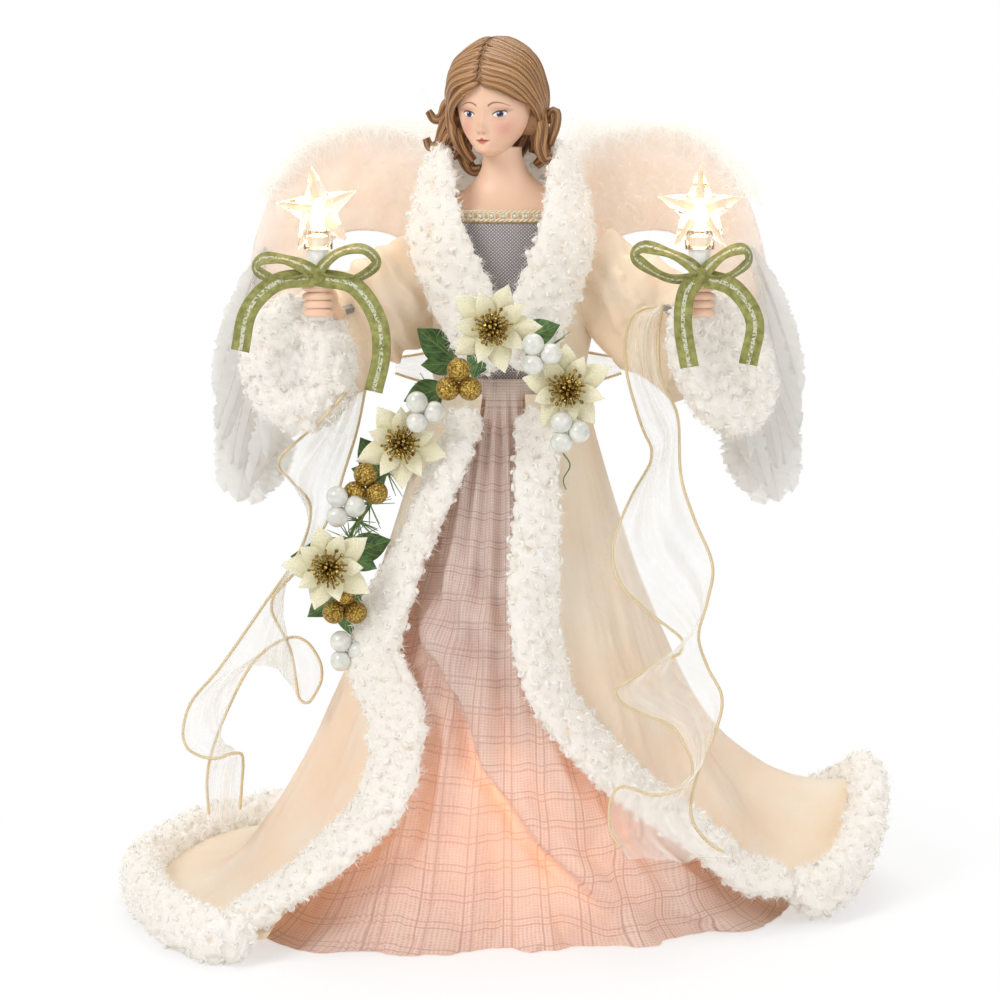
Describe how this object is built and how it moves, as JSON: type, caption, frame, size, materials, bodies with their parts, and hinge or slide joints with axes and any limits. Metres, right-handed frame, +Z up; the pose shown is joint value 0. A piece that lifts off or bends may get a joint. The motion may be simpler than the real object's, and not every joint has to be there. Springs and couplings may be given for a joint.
{
  "type": "angel tree topper",
  "caption": "Lighted angel for the top of a tree: cone stand, gown and fleece coat with curly trim, feathered wings, garland, sheer scarf and a star lamp in each hand.",
  "frame": {"origin": "on the axis of the tree cone, in the plane where the cone's rim and the skirts stand", "axes": "+Z up through the cone and the head, -Y the way the angel faces, +X the viewer's right"},
  "size_m": [0.3648, 0.2561, 0.4048],
  "materials": {
    "cone_board": "matt",
    "steel_wire": "satin",
    "foam_block": "matt",
    "painted_skin": "satin, painted face",
    "painted_hair": "satin with darker hollows",
    "bodice_weave": "grey herringbone weave",
    "gimp_braid": "cream braid with small pearls",
    "gown_linen": "open linen weave with darker plaid threads",
    "coat_fleece": "smooth fleece",
    "curly_pile": "curly pile with silver flecks",
    "white_holder": "satin",
    "lamp_glass": "warm light",
    "clear_star": "clear faceted plastic",
    "green_ribbon": "velvet ribbon with silver edges",
    "wing_card": "matt",
    "wing_felt": "felt",
    "white_feather": "long feathers",
    "white_down": "loose down",
    "green_foliage": "flocked leaves and needles",
    "cream_petal": "cream petals edged with glitter",
    "gold_glitter": "gold glitter",
    "pearl_white": "pearl",
    "sheer_scarf": "sheer, gold cord along the edges",
    "mini_lamp": "warm light",
    "lead_pvc": "satin"
  },
  "bodies": {
    "angel": {"tree_cone": "cone_board", "arm_wire": "steel_wire", "torso_block": "foam_block", "bust": "painted_skin", "hair": "painted_hair", "bodice": "bodice_weave", "neckline_braid": "gimp_braid", "gown_skirt": "gown_linen", "coat_skirt": "coat_fleece", "coat_top": "coat_fleece", "collar_trim": "curly_pile", "front_trim_left": "curly_pile", "front_trim_right": "curly_pile", "hem_trim": "curly_pile", "lamp_holder_left": "white_holder", "hand_left": "painted_skin", "bow_left": "green_ribbon", "sleeve_left": "coat_fleece", "cuff_left": "curly_pile", "lamp_holder_right": "white_holder", "hand_right": "painted_skin", "bow_right": "green_ribbon", "sleeve_right": "coat_fleece", "cuff_right": "curly_pile", "wing_bracket": "wing_card", "wing_pad_left": "wing_felt", "wing_flight_feathers_left": "white_feather", "wing_down_left": "white_down", "wing_pad_right": "wing_felt", "wing_flight_feathers_right": "white_feather", "wing_down_right": "white_down", "garland_vine": "green_foliage", "poinsettia_1": "cream_petal", "poinsettia_2": "cream_petal", "poinsettia_3": "cream_petal", "poinsettia_4": "cream_petal", "gold_berries_1": "gold_glitter", "gold_berries_2": "gold_glitter", "gold_berries_3": "gold_glitter", "pearl_cluster_1": "pearl_white", "pearl_cluster_2": "pearl_white", "pearl_cluster_3": "pearl_white", "pearl_cluster_4": "pearl_white", "pearl_cluster_5": "pearl_white", "scarf_left": "sheer_scarf", "scarf_right": "sheer_scarf", "scarf_back": "sheer_scarf", "mini_light_1": "mini_lamp", "mini_light_2": "mini_lamp", "mini_light_3": "mini_lamp", "mini_light_4": "mini_lamp", "mini_light_5": "mini_lamp", "mini_light_6": "mini_lamp", "mini_light_7": "mini_lamp", "mini_light_8": "mini_lamp", "light_lead": "lead_pvc"},
    "bulb_left": {"lamp_bulb_left": "lamp_glass"},
    "star_left": {"star_cover_left": "clear_star"},
    "bulb_right": {"lamp_bulb_right": "lamp_glass"},
    "star_right": {"star_cover_right": "clear_star"}
  },
  "joints": [
    {"name": "bulb_left_pull", "type": "slide", "parent": "angel", "child": "bulb_left", "axis": [0, 0, 1], "range_m": [0, 0.015]},
    {"name": "star_left_pull", "type": "slide", "parent": "bulb_left", "child": "star_left", "axis": [0, 0, 1], "range_m": [0, 0.04]},
    {"name": "bulb_right_pull", "type": "slide", "parent": "angel", "child": "bulb_right", "axis": [0, 0, 1], "range_m": [0, 0.015]},
    {"name": "star_right_pull", "type": "slide", "parent": "bulb_right", "child": "star_right", "axis": [0, 0, 1], "range_m": [0, 0.04]}
  ]
}
